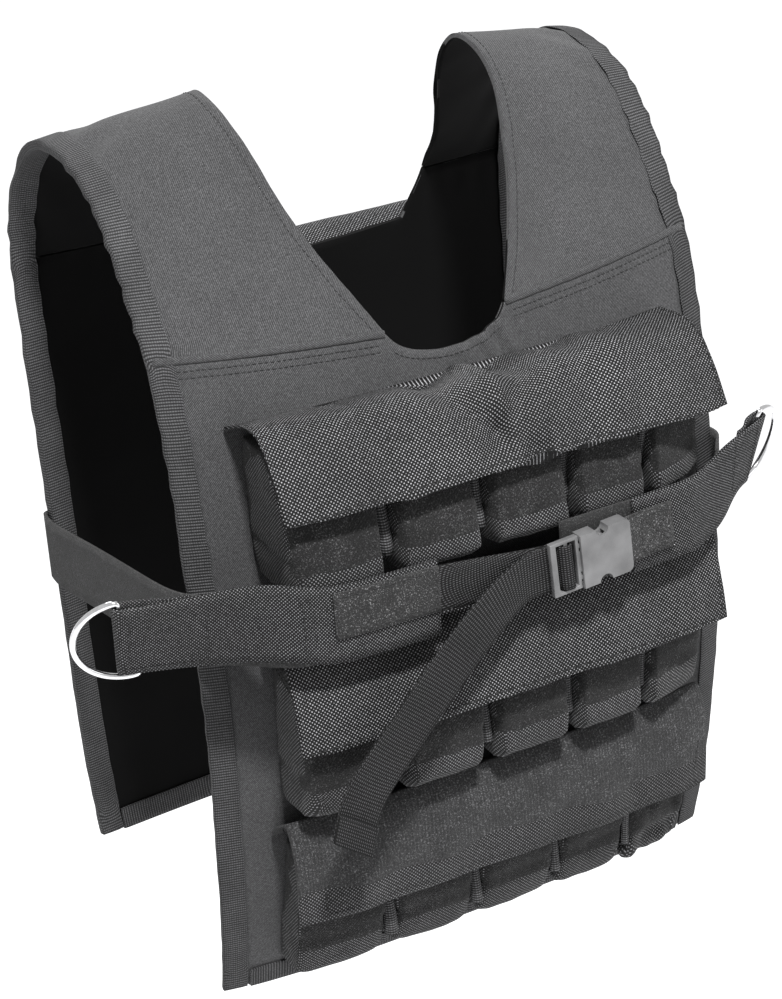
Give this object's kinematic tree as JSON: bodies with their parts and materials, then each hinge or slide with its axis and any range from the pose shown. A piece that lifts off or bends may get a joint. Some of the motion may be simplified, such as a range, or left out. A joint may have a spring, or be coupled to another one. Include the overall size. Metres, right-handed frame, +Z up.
{
  "type": "weighted vest",
  "caption": "Open-sided weighted vest with filled pouches in rows under long flaps, wide shoulder straps, and a belt with D-rings and a side-release buckle.",
  "frame": {"origin": "on the centre plane, level with the underside of the shoulder straps where they are highest, above the middle of the wearer's shoulders", "axes": "+Z up, -Y out of the vest's front, +X to the wearer's left, on the right as seen from the front"},
  "size_m": [0.4969, 0.3852, 0.5633],
  "materials": {
    "canvas": "fine charcoal canvas",
    "edge_tape": "ribbed binding tape",
    "flap_cloth": "coarse basket weave with a fuzzy band",
    "pouch_cloth": "woven cloth with fuzzy patches",
    "webbing": "ribbed webbing",
    "ring_metal": "bright plated wire",
    "buckle_plastic": "satin grey moulded plastic"
  },
  "bodies": {
    "vest": {"front_panel": "canvas", "back_panel": "canvas", "shoulder_left": "canvas", "shoulder_right": "canvas", "side_binding_left": "edge_tape", "side_binding_right": "edge_tape", "front_hem_binding": "edge_tape", "back_hem_binding": "edge_tape", "front_flap_1": "flap_cloth", "front_pouch_1_1": "pouch_cloth", "front_pouch_1_2": "pouch_cloth", "front_pouch_1_3": "pouch_cloth", "front_pouch_1_4": "pouch_cloth", "front_pouch_1_5": "pouch_cloth", "front_flap_2": "flap_cloth", "front_pouch_2_1": "pouch_cloth", "front_pouch_2_2": "pouch_cloth", "front_pouch_2_3": "pouch_cloth", "front_pouch_2_4": "pouch_cloth", "front_pouch_2_5": "pouch_cloth", "front_flap_3": "flap_cloth", "front_pouch_3_1": "pouch_cloth", "front_pouch_3_2": "pouch_cloth", "front_pouch_3_3": "pouch_cloth", "front_pouch_3_4": "pouch_cloth", "front_pouch_3_5": "pouch_cloth", "back_flap_1": "flap_cloth", "back_pouch_1_1": "pouch_cloth", "back_pouch_1_2": "pouch_cloth", "back_pouch_1_3": "pouch_cloth", "back_pouch_1_4": "pouch_cloth", "back_pouch_1_5": "pouch_cloth", "back_flap_2": "flap_cloth", "back_pouch_2_1": "pouch_cloth", "back_pouch_2_2": "pouch_cloth", "back_pouch_2_3": "pouch_cloth", "back_pouch_2_4": "pouch_cloth", "back_pouch_2_5": "pouch_cloth", "back_flap_3": "flap_cloth", "back_pouch_3_1": "pouch_cloth", "back_pouch_3_2": "pouch_cloth", "back_pouch_3_3": "pouch_cloth", "back_pouch_3_4": "pouch_cloth", "back_pouch_3_5": "pouch_cloth", "side_strap_left": "webbing", "side_strap_right": "webbing", "ring_strap_left": "webbing", "ring_strap_right": "webbing", "buckle_female": "buckle_plastic", "buckle_male": "buckle_plastic", "buckle_strap_left": "webbing", "buckle_strap_right": "webbing"},
    "left_ring": {"ring_left": "ring_metal"},
    "right_ring": {"ring_right": "ring_metal"}
  },
  "joints": [
    {"name": "left_ring_turn", "type": "hinge", "parent": "vest", "child": "left_ring", "pos_m": [-0.24417, -0.17382, -0.25509], "axis": [-0.2329, -0.2106, 0.9494], "range_deg": [-90, 90]},
    {"name": "right_ring_turn", "type": "hinge", "parent": "vest", "child": "right_ring", "pos_m": [0.1874, -0.17851, -0.25309], "axis": [0.1598, -0.2302, 0.9599], "range_deg": [-90, 30]}
  ]
}
